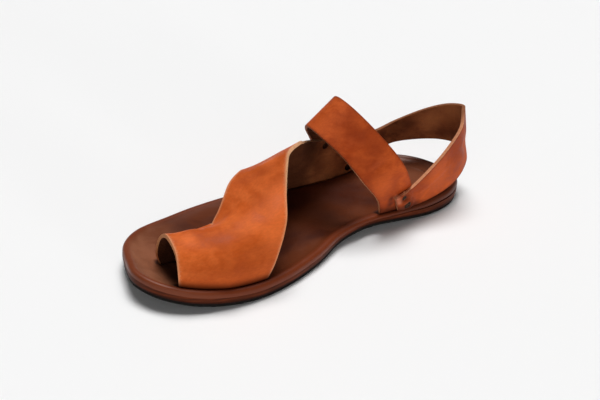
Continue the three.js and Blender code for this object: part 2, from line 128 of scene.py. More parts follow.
# Outline of the sole from the back of the heel, up the inner side and back down the outer side:
# share along, and share of a width to the side
OUTLINE_ROWS = [
    (0.020, 0.010, HEEL_WIDTH), (0.022, -0.243, HEEL_WIDTH), (0.080, -0.407, HEEL_WIDTH),
    (0.165, -0.457, HEEL_WIDTH), (0.279, -0.424, HEEL_WIDTH), (0.379, -0.397, WAIST_WIDTH),
    (0.468, -0.434, WAIST_WIDTH), (0.568, -0.398, BALL_WIDTH), (0.679, -0.472, BALL_WIDTH),
    (0.769, -0.488, BALL_WIDTH), (0.859, -0.444, BALL_WIDTH), (0.930, -0.357, BALL_WIDTH),
    (0.980, -0.216, BALL_WIDTH), (0.996, -0.052, BALL_WIDTH), (0.977, 0.112, BALL_WIDTH),
    (0.941, 0.290, BALL_WIDTH), (0.874, 0.426, BALL_WIDTH), (0.761, 0.488, BALL_WIDTH),
    (0.650, 0.503, BALL_WIDTH), (0.540, 0.483, BALL_WIDTH), (0.420, 0.607, WAIST_WIDTH),
    (0.300, 0.559, WAIST_WIDTH), (0.179, 0.529, HEEL_WIDTH), (0.089, 0.460, HEEL_WIDTH),
    (0.040, 0.255, HEEL_WIDTH),
]

# Sections of the layers, from the underside up: distance in from the outline, and share of the thickness
OUTSOLE_ROWS = [(0.9, 0), (0.65, 0.1), (0.6, 0.3), (0.6, 0.9), (0.7, 1)]
MIDSOLE_ROWS = [(0.6, 0), (0.35, 0.05), (0.15, 0.3), (0.0, 0.6), (0.0, 0.9), (0.0, 0.97), (0.03, 1)]
RIM_ROWS = [
    (0.02, 0.0), (0.0, 0.12), (0.03, 0.34), (0.2, 0.55), (0.6, 0.74), (1.1, 0.87), (1.7, 0.95),
    (2.3, 0.99), (2.9, 1.0), (3.5, 0.985), (4.2, 0.93), (5.0, 0.84), (6.0, 0.75), (7.2, 0.68),
    (9.0, 0.62), (11.0, 0.58), (13.5, 0.55),
]

# Edges of the straps: share along, share of half a width to the side, and share of a height up.
# A row with one number is a foot on the inner side, and one with a word a foot on the outer side,
# each on the inset outline.
TOE_LOOP_ROWS = [
    (0.930,), (0.939, -0.58, 0.62), (0.935, -0.46, 0.89), (0.929, -0.23, 1.00),
    (0.919, -0.02, 0.79), (0.914, 0.07, 0.46), (0.903, 0.07, None),
]
TOE_LOOP_TAIL_ROWS = [(0.780, -0.045, 0.76), (0.800, 0.08, 0.48), (0.830, 0.08, None)]
VAMP_FRONT_ROWS = [
    (0.840,), (0.835, -0.857, 0.38), (0.822, -0.68, 0.57), (0.800, -0.37, 0.595),
    (0.777, -0.045, 0.452), (0.745, 0.045, 0.570), (0.704, 0.19, 0.708), (0.655, 0.327, 0.75),
    (0.613, 0.54, 0.65), (0.572, 0.78, 0.44), (0.545, "outer"),
]
VAMP_REAR_ROWS = [
    (0.744,), (0.720, -0.896, 0.327), (0.679, -0.773, 0.637), (0.654, -0.60, 0.79),
    (0.630, -0.427, 0.897), (0.602, -0.245, 0.966), (0.570, -0.070, 0.998), (0.501, 0.18, 0.940),
]
HEEL_TOP_ROWS = [
    (0.443, 0.626, 0.797), (0.405, 0.751, 0.738), (0.342, 0.823, 0.670), (0.252, 0.849, 0.606),
    (0.164, 0.834, 0.588), (0.098, 0.780, 0.656), (0.039, 0.497, 0.790), (0.008, 0.154, 0.898),
    (0.007, -0.249, 0.976), (0.041, -0.500, 1.003), (0.078, -0.743, 0.890), (0.134, -0.806, 0.722),
    (0.232, -0.822, 0.487), (0.307, -0.853, 0.368),
]
HEEL_LOW_ROWS = [
    (0.410, "outer"), (0.372, "outer"), (0.318, "outer"), (0.240, "outer"),
    (0.181, 0.820, 0.299), (0.119, 0.754, 0.398), (0.052, 0.594, 0.418), (-0.006, 0.243, 0.441),
    (-0.019, -0.171, 0.457), (-0.005, -0.454, 0.408), (0.039, -0.669, 0.310), (0.102, -0.786, 0.228),
    (0.182, -0.857, 0.194), (0.281, -0.845, 0.178),
]
INSTEP_FRONT_ROWS = [
    (0.325,), (0.357, -0.832, 0.295), (0.406, -0.771, 0.489), (0.441, -0.450, 0.674),
    (0.460, -0.006, 0.774), (0.453, 0.462, 0.786), (0.423, 0.753, 0.677), (0.384, 0.871, 0.512),
    (0.358, 0.976, 0.317), (0.341, 1.029, 0.165),
]
INSTEP_REAR_ROWS = [
    (0.232,), (0.246, -0.868, 0.305), (0.291, -0.912, 0.567), (0.350, -0.556, 0.837),
    (0.377, -0.088, 0.976), (0.373, 0.385, 0.990), (0.336, 0.765, 0.840), (0.303, 0.924, 0.561),
    (0.250, 0.968, 0.329), (0.223, 1.000, 0.165),
]

# How far the vamp dips at each row of its front edge, as a share of its height
VAMP_VALLEYS = [0, 0, 0, 0.03, 0.14, 0.09, 0.04, 0, 0, 0, 0]

# Soft folds pressed into the straps: from and to in the frame, how wide, and how far out of the leather.
# A fold ends at so many widths beside its line, and fades out over a share of its length.
FOLD_WIDTHS = 2.5
FOLD_FADE = 0.75
VAMP_FOLDS = [
    ((-38.3, 183.6, 33.8), (-41.5, 160.0, 33.0), 3.0, 0.6),
    ((-41.9, 190.0, 27.5), (-43.3, 172.0, 25.4), 6.0, -0.8),
    ((3.2, 152.7, 49.1), (-10.3, 135.8, 59.4), 4.5, -0.7),
    ((7.8, 144.8, 51.6), (-4.1, 127.2, 62.4), 3.5, 0.5),
    ((-25.4, 148.9, 51.3), (-39.7, 160.0, 36.8), 5.0, 0.7),
    ((-15.0, 186.0, 39.0), (-25.0, 175.0, 41.0), 1.6, 0.3),
    ((-17.0, 184.0, 39.0), (-27.0, 181.0, 38.8), 1.6, -0.3),
    ((-29.0, -11.6, 43.7), (-15.0, -28.4, 33.3), 6.0, -2.4),
    ((26.0, 151.0, 38.0), (18.0, 114.0, 55.0), 18.0, -1.7),
    ((-15.0, 211.0, 38.5), (-13.0, 195.0, 37.0), 6.0, 1.5),
]
INSTEP_FOLDS = [
    ((-22.5, 80.8, 53.1), (-23.3, 72.1, 58.1), 2.6, -0.9),
    ((-27.2, 73.9, 46.2), (-28.7, 62.2, 51.5), 2.6, -0.9),
    ((-25.0, 78.3, 49.3), (-25.8, 66.4, 56.3), 2.4, 0.6),
    ((-8.0, 88.0, 68.0), (-18.0, 74.0, 66.0), 8.0, -1.0),
]

# Where the heel strap's two rivets draw its leather in
RIVET_PLACES = [(-31.7, 46.0, 21.6), (-31.6, 41.3, 14.4)]
RIVET_RADIUS = 2.7
PUCKER_RADIUS = 4.4
PUCKER_WIDTH = 1.4
PUCKER_HEIGHT = 0.8
DIMPLE_DEPTH = 0.8

# Camera of the photograph
CAMERA_PLACE = Vector((-478.26, 546.92, 388.19))
CAMERA_RIGHT = Vector((-0.64046, -0.76399, 0.07830))
CAMERA_UP = Vector((0.42058, -0.26360, 0.86812))
CAMERA_LENS = 70.5


def mix(low, high, share):
    return low + (high - low) * share


def hump(share):
    """One halfway and nothing at both ends."""
    return 4 * share * (1 - share)


def window(position, centre, reach):
    distance = min(1, abs(position - centre) / reach)
    return math.cos(distance * math.pi / 2) ** 2


def heel_fade(position, end):
    rest = min(1, max(0, 1 - position / end))
    return rest * rest * (3 - 2 * rest)


def floor_height(x, y):
    """Height of the underside of the sole."""
    along = y / SOLE_LENGTH
    toe = max(0, (along - TOE_BREAK_ALONG) / (1 - TOE_BREAK_ALONG))
    outer_share = min(1, max(0, 0.5 + x / WAIST_WIDTH))
    arch = mix(INNER_ARCH_LIFT, OUTER_ARCH_LIFT, outer_share)
    return TOE_SPRING * toe * toe + arch * window(along, ARCH_CENTRE, ARCH_REACH)


def midsole_top(x, y):
    along = y / SOLE_LENGTH
    thinning = MIDSOLE_WAIST_THINNING * window(along, ARCH_CENTRE, ARCH_REACH)
    wedge = HEEL_WEDGE * heel_fade(along, WEDGE_END)
    return floor_height(x, y) + OUTSOLE_THICKNESS + LAYER_GAP + MIDSOLE_THICKNESS - thinning + wedge


def insole_height(x, y, share):
    """Height of the insole's surface at a share of its thickness."""
    along = y / SOLE_LENGTH
    thinning = INSOLE_WAIST_THINNING * window(along, ARCH_CENTRE, ARCH_REACH)
    cup = HEEL_CUP_RISE * heel_fade(along, CUP_END)
    return midsole_top(x, y) + LAYER_GAP + share * (INSOLE_THICKNESS - thinning + cup)


def outsole_height(x, y, share):
    """Height in the outsole at a share of its thickness."""
    return floor_height(x, y) + share * OUTSOLE_THICKNESS


def midsole_height(x, y, share):
    """Height in the midsole at a share of its thickness."""
    low = floor_height(x, y) + OUTSOLE_THICKNESS + LAYER_CLEARANCE
    top = midsole_top(x, y) + LAYER_GAP - LAYER_CLEARANCE
    return mix(low, top, share)


def curve_through(points, steps, closed=False):
    """A centripetal Catmull-Rom curve through points, with even steps between each two."""
    count = len(points)
    if closed:
        ring = [points[-1], *points, points[0], points[1]]
    else:
        ring = [2 * points[0] - points[1], *points, 2 * points[-1] - points[-2]]
    curve = []
    for index in range(count if closed else count - 1):
        before, start, end, after = ring[index:index + 4]
        back, here, on = [max((b - a).length ** 0.5, 1e-4)
                          for a, b in ((before, start), (start, end), (end, after))]
        leave = (start - before) / back - (end - before) / (back + here) + (end - start) / here
        arrive = (end - start) / here - (after - start) / (here + on) + (after - end) / on
        leave, arrive = leave * here, arrive * here
        for step in range(steps):
            t = step / steps
            curve.append((2 * t**3 - 3 * t**2 + 1) * start + (t**3 - 2 * t**2 + t) * leave
                         + (3 * t**2 - 2 * t**3) * end + (t**3 - t**2) * arrive)
    if not closed:
        curve.append(points[-1].copy())
    return curve


def even_ring(points, count):
    """The same closed curve with vertices at even distances."""
    runs = [0.0]
    loop = [*points, points[0]]
    for a, b in zip(loop, loop[1:]):
        runs.append(runs[-1] + (b - a).length)
    ring, at = [], 0
    for index in range(count):
        target = runs[-1] * index / count
        while runs[at + 1] < target:
            at += 1
        ring.append(loop[at].lerp(loop[at + 1], (target - runs[at]) / (runs[at + 1] - runs[at])))
    return ring


OUTLINE_POINTS = [Vector((side * width, along * SOLE_LENGTH, 0)) for along, side, width in OUTLINE_ROWS]
OUTLINE = even_ring(curve_through(OUTLINE_POINTS, OUTLINE_STEPS, closed=True), RING_STEPS)


def inset_outline(distance):
    """The outline moved inwards by an even distance."""
    ring = []
    for index, point in enumerate(OUTLINE):
        run = (OUTLINE[(index + 1) % RING_STEPS] - OUTLINE[index - 1]).normalized()
        ring.append(Vector((point.x + run.y * distance, point.y - run.x * distance, 0)))
    return ring


def edge_point(along, distance, outer):
    """The point of the inset outline at a share of the length, on the inner or the outer side."""
    ring = inset_outline(distance)
    half = RING_STEPS // 2
    side = [ring[0], *reversed(ring[half:])] if outer else ring[:half + 1]
    y = along * SOLE_LENGTH
    above = next(index for index in range(1, len(side)) if side[index].y >= y)
    low, high = side[above - 1], side[above]
    return low.lerp(high, (y - low.y) / (high.y - low.y))


def strap_point(row, width, height):
    """A point of a strap's edge, from its row in a table and the sizes that the row follows."""
    if len(row) < 3:
        foot = edge_point(row[0], STRAP_INSET, len(row) == 2)
        foot.z = insole_height(foot.x, foot.y, 0)
        return foot
    x, y = row[1] * width / 2, row[0] * SOLE_LENGTH
    return Vector((x, y, insole_height(x, y, 0) if row[2] is None else row[2] * height))


def strap_points(rows, width, height):
    return [strap_point(row, width, height) for row in rows]


def blend_edges(first, last, steps, saddle):
    """A grid of points between two edges, which sags to a saddle between them."""
    grid = []
    for row in range(steps + 1):
        share = row / steps
        grid.append([])
        for column, (a, b) in enumerate(zip(first, last)):
            point = a.lerp(b, share)
            point.z -= saddle * hump(share) * math.sin(math.pi * column / (len(first) - 1))
            grid[-1].append(point)
    return grid


def follow_outline(grid, first_inset, last_inset, outer):
    """Keeps the foot of each row on the inset outline, and fades the move out up the strap."""
    moved = []
    for index, row in enumerate(grid):
        foot = row[-1] if outer else row[0]
        inset = mix(first_inset, last_inset, index / (len(grid) - 1))
        move = edge_point(foot.y / SOLE_LENGTH, inset, outer).x - foot.x
        moved.append([])
        for column, point in enumerate(row):
            away = len(row) - 1 - column if outer else column
            fade = max(0, 1 - away / FOOT_FADE_COLUMNS) ** 2
            moved[-1].append(Vector((point.x + move * fade, point.y, point.z)))
    return moved


def heel_grid(top):
    """The quarter and heel strap: one row for each station, from its top edge to its lower edge."""
    low = curve_through(strap_points(HEEL_LOW_ROWS, HEEL_WIDTH, HEEL_STRAP_HEIGHT), STEPS_PER_ROW)
    grid = []
    for upper, lower in zip(top, low):
        grid.append([])
        for column in range(QUARTER_STEPS + 1):
            share = column / QUARTER_STEPS
            point = upper.lerp(lower, share)
            out = Vector((point.x, min(0, point.y - HEEL_WIDTH / 2), 0)).normalized()
            grid[-1].append(point + out * HEEL_STRAP_BELLY * hump(share))
    return grid


def vamp_grid(rear, heel):
    """The vamp, whose last columns run down the front of the quarter."""
    front = curve_through(strap_points(VAMP_FRONT_ROWS, BALL_WIDTH, VAMP_HEIGHT), STEPS_PER_ROW)
    valleys = curve_through([Vector((0, 0, valley * VAMP_HEIGHT)) for valley in VAMP_VALLEYS], STEPS_PER_ROW)
    level = [point + valley for point, valley in zip(front, valleys)]
    grid = blend_edges(level, rear + heel[0], VAMP_ROWS, VAMP_SADDLE)
    for index, row in enumerate(grid):
        fade = (1 - index / VAMP_ROWS) ** 3
        for point, valley in zip(row, valleys):
            point.z -= valley.z * fade
    inner = follow_outline(grid, INNER_FOOT_INSET, INNER_FOOT_INSET, False)
    return follow_outline(inner, STRAP_INSET, STRAP_INSET, True)


def toe_loop_grid(vamp):
    """The toe loop, whose last row is the vamp's first as far as the notch."""
    front = curve_through(strap_points(TOE_LOOP_ROWS, BALL_WIDTH, TOE_LOOP_HEIGHT), STEPS_PER_ROW)
    tail = curve_through(strap_points(TOE_LOOP_TAIL_ROWS, BALL_WIDTH, TOE_LOOP_HEIGHT), STEPS_PER_ROW)
    last = vamp[0][:len(front) - len(tail)] + tail
    grid = blend_edges(front, last, LOOP_ROWS, TOE_LOOP_SADDLE)
    return follow_outline(grid, TOE_STRAP_INSET, INNER_FOOT_INSET, False)


def instep_grid():
    front = curve_through(strap_points(INSTEP_FRONT_ROWS, WAIST_WIDTH, INSTEP_HEIGHT), STEPS_PER_ROW)
    rear = curve_through(strap_points(INSTEP_REAR_ROWS, WAIST_WIDTH, INSTEP_HEIGHT), STEPS_PER_ROW)
    return blend_edges(front, rear, INSTEP_COLUMNS, 0)


def side_of(grid, y, z, outer):
    """How far out a grid lies at a height and place along the shoe, or nothing beside it."""
    sign = 1 if outer else -1
    for near, far in zip(grid, grid[1:]):
        for column in range(1, len(near)):
            corners = [near[column - 1], far[column - 1], far[column], near[column]]
            if min(corner.x * sign for corner in corners) < 0:
                continue
            if not min(corner.z for corner in corners) - 1 < z < max(corner.z for corner in corners) + 1:
                continue
            for a, b, c in (corners[:3], [corners[0], *corners[2:]]):
                area = (b.y - a.y) * (c.z - a.z) - (c.y - a.y) * (b.z - a.z)
                if abs(area) < 1e-9:
                    continue
                u = ((y - a.y) * (c.z - a.z) - (c.y - a.y) * (z - a.z)) / area
                v = ((b.y - a.y) * (z - a.z) - (y - a.y) * (b.z - a.z)) / area
                if u >= 0 and v >= 0 and u + v <= 1:
                    return a.x + u * (b.x - a.x) + v * (c.x - a.x)
    return None


def seat_outside(grid, under, outer, reach):
    """Lays one grid on the outside of another, with a soft run up to it."""
    sign = 1 if outer else -1
    moves = []
    for row in grid:
        moves.append([])
        for point in row:
            side = side_of(under, point.y, point.z, outer) if point.x * sign > 0 else None
            moves[-1].append(None if side is None else side + sign * reach - point.x)
    seated = []
    for index, row in enumerate(grid):
        seated.append([])
        for column, point in enumerate(row):
            move = moves[index][column]
            if move is None:
                move = run_up(moves, index, column)
            seated[-1].append(Vector((point.x + move, point.y, point.z)))
    return seated


def run_up(moves, index, column):
    """The move of a point that lies on nothing, from the nearest row that is seated, or its neighbour's."""
    for away in range(1, SEAT_RUN):
        for near in (index - away, index + away):
            if 0 <= near < len(moves):
                known = [moves[near][c] for c in (column, column - 1, column + 1)
                         if 0 <= c < len(moves[near]) and moves[near][c] is not None]
                if known:
                    return known[0] * window(away, 0, SEAT_RUN)
    return 0


def select_nothing():
    if bpy.context.object and bpy.context.object.mode != "OBJECT":
        bpy.ops.object.mode_set(mode="OBJECT")
    bpy.ops.object.select_all(action="DESELECT")


def take(piece):
    """Makes a piece the only one that an operator acts on."""
    select_nothing()
    piece.select_set(True)
    bpy.context.view_layer.objects.active = piece


def on_floor(point):
    """A point of the tables as a place in the frame, in metres."""
    return Vector((point.x, point.y - HEEL_REST_ALONG * SOLE_LENGTH, point.z)) * MM


def lay_sheet(name, grid):
    """A grid of quads laid over rows of points."""
    select_nothing()
    rows, columns = len(grid), len(grid[0])
    bpy.ops.mesh.primitive_grid_add(x_subdivisions=columns - 1, y_subdivisions=rows - 1, size=1)
    sheet = bpy.context.object
    sheet.name = name
    points = [point for row in grid for point in row]
    assert len(sheet.data.vertices) == len(points), (len(sheet.data.vertices), rows, columns)
    for vertex, point in zip(sheet.data.vertices, points):
        vertex.co = on_floor(point)
    return sheet


def join_sheets(sheets):
    """One piece from several sheets, closed where they meet."""
    take(sheets[0])
    for sheet in sheets[1:]:
        sheet.select_set(True)
    bpy.ops.object.join()
    whole = bpy.context.object
    bpy.ops.object.mode_set(mode="EDIT")
    bpy.ops.mesh.select_all(action="SELECT")
    bpy.ops.mesh.remove_doubles(threshold=MERGE_DISTANCE * MM)
    bpy.ops.mesh.normals_make_consistent(inside=False)
    bpy.ops.object.mode_set(mode="OBJECT")
    return whole


def apply(piece, kind, **values):
    """Adds a modifier with its values and applies it."""
    take(piece)
    modifier = piece.modifiers.new(kind.lower(), kind)
    for key, value in values.items():
        setattr(modifier, key, value)
    bpy.ops.object.modifier_apply(modifier=modifier.name)


def smooth(piece, angle):
    """Shades a piece smooth, apart from its edges sharper than an angle, in degrees."""
    take(piece)
    bpy.ops.object.shade_smooth_by_angle(angle=math.radians(angle))


def face_up(sheet):
    """Turns a sheet over if its highest point faces down."""
    top = max(sheet.data.vertices, key=lambda vertex: vertex.co.z)
    if top.normal.z < 0:
        sheet.data.flip_normals()


def mark_edges(sheet):
    """Keeps each vertex's distance to the sheet's cut edge, in millimetres, as the attribute cut."""
    uses = {}
    for polygon in sheet.data.polygons:
        for key in polygon.edge_keys:
            uses[key] = uses.get(key, 0) + 1
    rim = {index for key, count in uses.items() if count == 1 for index in key}
    tree = KDTree(len(rim))
    for index in rim:
        tree.insert(sheet.data.vertices[index].co, index)
    tree.balance()
    marks = sheet.data.attributes.new("cut", "FLOAT", "POINT")
    for index, vertex in enumerate(sheet.data.vertices):
        marks.data[index].value = tree.find(vertex.co)[2] / MM


def mark_feet(sheet):
    """Keeps each vertex's height over the insole's rim, in millimetres, as the attribute foot."""
    marks = sheet.data.attributes.new("foot", "FLOAT", "POINT")
    for index, vertex in enumerate(sheet.data.vertices):
        x, y, z = vertex.co / MM
        marks.data[index].value = z - insole_height(x, y + HEEL_REST_ALONG * SOLE_LENGTH, 1)


def press_folds(sheet, folds):
    """Raises soft ridges and sinks soft troughs along lines, each fading out at both its ends."""
    normals = [vertex.normal.copy() for vertex in sheet.data.vertices]
    for start, end, width, height in folds:
        start, run = Vector(start), Vector(end) - Vector(start)
        for vertex, normal in zip(sheet.data.vertices, normals):
            reach = vertex.co / MM - start
            share = min(1, max(0, reach.dot(run) / run.length_squared))
            away = (reach - run * share).length / width
            if away < FOLD_WIDTHS:
                lift = height * window(share, 0.5, FOLD_FADE) * math.exp(-away * away)
                vertex.co += normal * lift * MM


def pucker(sheet, places):
    """Draws the leather in under each rivet and raises a low ring round it."""
    normals = [vertex.normal.copy() for vertex in sheet.data.vertices]
    for place in places:
        for vertex, normal in zip(sheet.data.vertices, normals):
            distance = (vertex.co / MM - Vector(place)).length
            ring, middle = (distance - PUCKER_RADIUS) / PUCKER_WIDTH, distance / RIVET_RADIUS
            if distance < 2 * PUCKER_RADIUS:
                lift = PUCKER_HEIGHT * math.exp(-ring * ring) - DIMPLE_DEPTH * math.exp(-middle * middle)
                vertex.co += normal * lift * MM


def make_wall(sheet):
    """Gives a sheet its leather wall with softly broken edges. Slots: grain, flesh side, cut edge."""
    for slot in range(3):
        sheet.data.materials.append(None)
    apply(sheet, "SOLIDIFY", thickness=STRAP_WALL * MM, offset=0, use_even_offset=True,
          use_quality_normals=True, material_offset=1, material_offset_rim=2)
    apply(sheet, "BEVEL", width=EDGE_BREAK * MM, segments=3, limit_method="ANGLE",
          angle_limit=math.radians(BREAK_ANGLE))
    smooth(sheet, STRAP_SMOOTH_ANGLE)


def raised(ring, height, share):
    """A ring lifted to a share of its layer's thickness."""
    return [Vector((point.x, point.y, height(point.x, point.y, share))) for point in ring]


def chords(ring, height, edge_share, middle_share):
    """Rows of points from the inner to the outer side of a ring, as high as the given shares of its layer."""
    half = len(ring) // 2
    rows = []
    for index in range(half + 1):
        start, end = ring[index], ring[-index]
        rows.append([start.lerp(end, step / BED_STEPS) for step in range(BED_STEPS + 1)])
        for step, point in enumerate(rows[-1][1:-1], 1):
            point.z = height(point.x, point.y, mix(edge_share, middle_share, hump(step / BED_STEPS)))
    return rows


def make_layer(name, rings, height, edge_share=1, middle_share=1):
    """A layer of the sole: rings of points from its underside up, and a sheet over each end."""
    select_nothing()
    bpy.ops.mesh.primitive_circle_add(vertices=RING_STEPS, radius=1, fill_type="NOTHING")
    layer = bpy.context.object
    layer.name = name
    for vertex, point in zip(layer.data.vertices, rings[0]):
        vertex.co = on_floor(point)
    for ring in rings[1:]:
        start = len(layer.data.vertices)
        bpy.ops.object.mode_set(mode="EDIT")
        if start == RING_STEPS:
            bpy.ops.mesh.select_all(action="SELECT")
        bpy.ops.mesh.extrude_edges_move()
        bpy.ops.object.mode_set(mode="OBJECT")
        for vertex, point in zip(layer.data.vertices[start:], ring):
            vertex.co = on_floor(point)
    bed = lay_sheet(name + "_bed", chords(rings[-1], height, edge_share, middle_share))
    base = lay_sheet(name + "_base", chords(rings[0], height, 0, 0))
    return join_sheets([layer, bed, base])


def make_outsole():
    rings = [raised(inset_outline(inset), outsole_height, share) for inset, share in OUTSOLE_ROWS]
    return make_layer("outsole_rubber", rings, outsole_height)


def make_midsole():
    rings = [raised(inset_outline(inset), midsole_height, share) for inset, share in MIDSOLE_ROWS]
    return make_layer("midsole_leather", rings, midsole_height)


def make_insole():
    """The footbed, with its rounded rim and the seam that is drawn in under it at the heel."""
    rings = []
    for inset, share, _ in curve_through([Vector((*row, 0)) for row in RIM_ROWS], RIM_STEPS):
        rings.append(raised(inset_outline(inset), insole_height, share))
        tuck_seam(rings[-1], share)
    return make_layer("insole_leather", rings, insole_height, RIM_ROWS[-1][1], FOOTBED_SHARE)


def tuck_seam(ring, share):
    """Draws the insole's lower edge in round the heel, where its seam with the midsole shows."""
    for point, inner in zip(ring, inset_outline(SEAM_TUCK)):
        fade = heel_fade(point.y / SOLE_LENGTH, SEAM_END) * max(0, 1 - share / SEAM_SHARE)
        point.x, point.y = mix(point.x, inner.x, fade), mix(point.y, inner.y, fade)


def press_grooves(insole, feet):
    """Presses a narrow groove into the insole along each strap's foot, and marks it as the attribute slot,
    which takes painted shade and dirt.
    """
    tree = KDTree(len(feet))
    for index, point in enumerate(feet):
        tree.insert(on_floor(Vector((point.x, point.y, 0))), index)
    tree.balance()
    slot_mark = insole.data.attributes.new("slot", "FLOAT", "POINT")
    for vertex in insole.data.vertices:
        x, y = vertex.co.x / MM, vertex.co.y / MM + HEEL_REST_ALONG * SOLE_LENGTH
        if vertex.co.z / MM < insole_height(x, y, GROOVE_SHARE):
            continue
        away = tree.find(Vector((vertex.co.x, vertex.co.y, 0)))[2] / MM - STRAP_WALL / 2
        press = min(1, max(0, 1 - away / GROOVE_REACH))
        vertex.co.z -= GROOVE_DEPTH * MM * press * press * (3 - 2 * press)
        slot_mark.data[vertex.index].value = min(1, max(0, 1 - away / SLOT_SHADE_AND_DIRT_REACH))


def foot_points(grid, column):
    """Close points along a strap's foot, from one column of its grid."""
    line = [row[column] for row in grid]
    return [a.lerp(b, step / FOOT_STEPS) for a, b in zip(line, line[1:]) for step in range(FOOT_STEPS)]


def mark_rim(insole):
    """Keeps how near each vertex is to the insole's edge as the attribute rim, one at the edge itself."""
    tree = KDTree(RING_STEPS)
    for index, point in enumerate(OUTLINE):
        tree.insert(on_floor(Vector((point.x, point.y, 0))), index)
    tree.balance()
    marks = insole.data.attributes.new("rim", "FLOAT", "POINT")
    for index, vertex in enumerate(insole.data.vertices):
        away = tree.find(Vector((vertex.co.x, vertex.co.y, 0)))[2] / MM
        marks.data[index].value = max(0, 1 - away / RIM_WIDTH)


def mark_low(midsole):
    """Keeps how near each vertex of the sole's side is to its underside as the attribute low, which takes
    painted shade.
    """
    marks = midsole.data.attributes.new("low", "FLOAT", "POINT")
    for index, vertex in enumerate(midsole.data.vertices):
        x, y, z = vertex.co / MM
        height = z - floor_height(x, y + HEEL_REST_ALONG * SOLE_LENGTH) - OUTSOLE_THICKNESS
        marks.data[index].value = min(1, max(0, 1 - height / LOW_SHADE_HEIGHT))


def own(piece, slot, *nodes):
    """Rides on the body and stands for its nodes. Its slot is not used."""
    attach(piece, "root")
    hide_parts(*nodes)


def make_upper():
    """The vamp with its toe loop, quarter and heel strap as one cut, and the instep strap over it."""
    edge = curve_through(strap_points(VAMP_REAR_ROWS, BALL_WIDTH, VAMP_HEIGHT)
                         + strap_points(HEEL_TOP_ROWS, HEEL_WIDTH, HEEL_STRAP_HEIGHT), STEPS_PER_ROW)
    crest = len(VAMP_REAR_ROWS) * STEPS_PER_ROW
    heel = heel_grid(edge[crest:])
    instep = seat_outside(instep_grid(), heel, True, STRAP_WALL)
    vamp = vamp_grid(edge[:crest], heel)
    toe_loop = toe_loop_grid(vamp)
    heel = seat_outside(heel, instep, False, STRAP_WALL)
    quarter_end = STEPS_PER_ROW * (sum(len(row) == 2 for row in HEEL_LOW_ROWS) - 1)
    feet = foot_points(toe_loop, 0) + foot_points(toe_loop, -1) + foot_points(vamp, 0)
    feet += foot_points(instep, 0) + foot_points(heel[:quarter_end + 1], -1) + foot_points(vamp, -1)
    main = join_sheets([lay_sheet(name, grid)
                        for name, grid in (("toe_loop", toe_loop), ("vamp", vamp), ("heel", heel))])
    main.name = "vamp_and_heel_strap"
    strap = lay_sheet("instep_strap", instep)
    for sheet, folds in ((main, VAMP_FOLDS), (strap, INSTEP_FOLDS)):
        face_up(sheet)
        apply(sheet, "SUBSURF", levels=2, render_levels=2, boundary_smooth="PRESERVE_CORNERS")
        press_folds(sheet, folds)
        if sheet == main:
            pucker(sheet, RIVET_PLACES)
        mark_edges(sheet)
        mark_feet(sheet)
        make_wall(sheet)
    return main, strap, feet


class Finish:
    """Builds one node tree, for a material or a group, in few words."""

    def __init__(self, tree):
        self.tree = tree

    def add(self, kind, inputs=None, **values):
        node = self.tree.nodes.new("ShaderNode" + kind)
        for key, value in values.items():
            setattr(node, key, value)
        for key, value in (inputs or {}).items():
            self.set(node.inputs[key], value)
        return node

    def set(self, socket, value):
        if isinstance(value, bpy.types.NodeSocket):
            self.tree.links.new(value, socket)
        elif isinstance(value, tuple) and len(value) == 3 and socket.type == "RGBA":
            socket.default_value = (*value, 1)
        else:
            socket.default_value = value

    def noise(self, scale, detail, roughness, vector, distortion=0.0):
        inputs = {"Scale": scale, "Detail": detail, "Roughness": roughness, "Distortion": distortion}
        return self.add("TexNoise", {"Vector": vector, **inputs}).outputs["Fac"]

    def place(self, scale=(1, 1, 1)):
        """Object coordinates, stretched along the axes."""
        coordinates = self.add("TexCoord").outputs["Object"]
        return self.add("Mapping", {"Vector": coordinates, "Scale": scale}).outputs["Vector"]

    def axis(self, name):
        """One of the object coordinates, in metres."""
        return self.add("SeparateXYZ", {0: self.place()}).outputs[name]

    def mark(self, name):
        """A value that the mesh keeps at its vertices."""
        return self.add("Attribute", attribute_name=name).outputs["Fac"]

    def spread(self, value, low, high, to_low=0.0, to_high=1.0):
        inputs = {"Value": value, "From Min": low, "From Max": high, "To Min": to_low, "To Max": to_high}
        return self.add("MapRange", inputs, interpolation_type="SMOOTHSTEP").outputs["Result"]

    def fade(self, axis, stretch, to_low=0.0, to_high=1.0):
        """A fade over a stretch of the shoe along one axis, in millimetres."""
        return self.spread(self.axis(axis), stretch[0] * MM, stretch[1] * MM, to_low, to_high)

    def blend(self, share, first, second, how="MIX"):
        node = self.add("Mix", data_type="RGBA", blend_type=how)
        for key, value in ((0, share), (6, first), (7, second)):
            self.set(node.inputs[key], value)
        return node.outputs[2]

    def sum(self, first, second):
        return self.add("Math", {0: first, 1: second}, operation="ADD").outputs[0]

    def times(self, first, second):
        return self.add("Math", {0: first, 1: second}, operation="MULTIPLY").outputs[0]

    def spot(self, centre, radius):
        """A soft round mask: one at a place in the frame, in millimetres, and nothing beyond its radius."""
        middle = tuple(value * MM for value in centre)
        away = self.add("VectorMath", {0: self.place(), 1: middle}, operation="DISTANCE").outputs["Value"]
        return self.spread(away, 0.0, radius * MM, 1.0, 0.0)

    def dab(self, color, tint, strength, spots):
        """Blends a tint into a colour at soft round places; most tints are painted shade and painted light.
        """
        for centre, radius in spots:
            color = self.blend(self.times(self.spot(centre, radius), strength), color, tint)
        return color

    def group(self, tree, **values):
        node = self.tree.nodes.new("ShaderNodeGroup")
        node.node_tree = tree
        for key, value in values.items():
            self.set(node.inputs[key.replace("_", " ")], value)
        return node.outputs


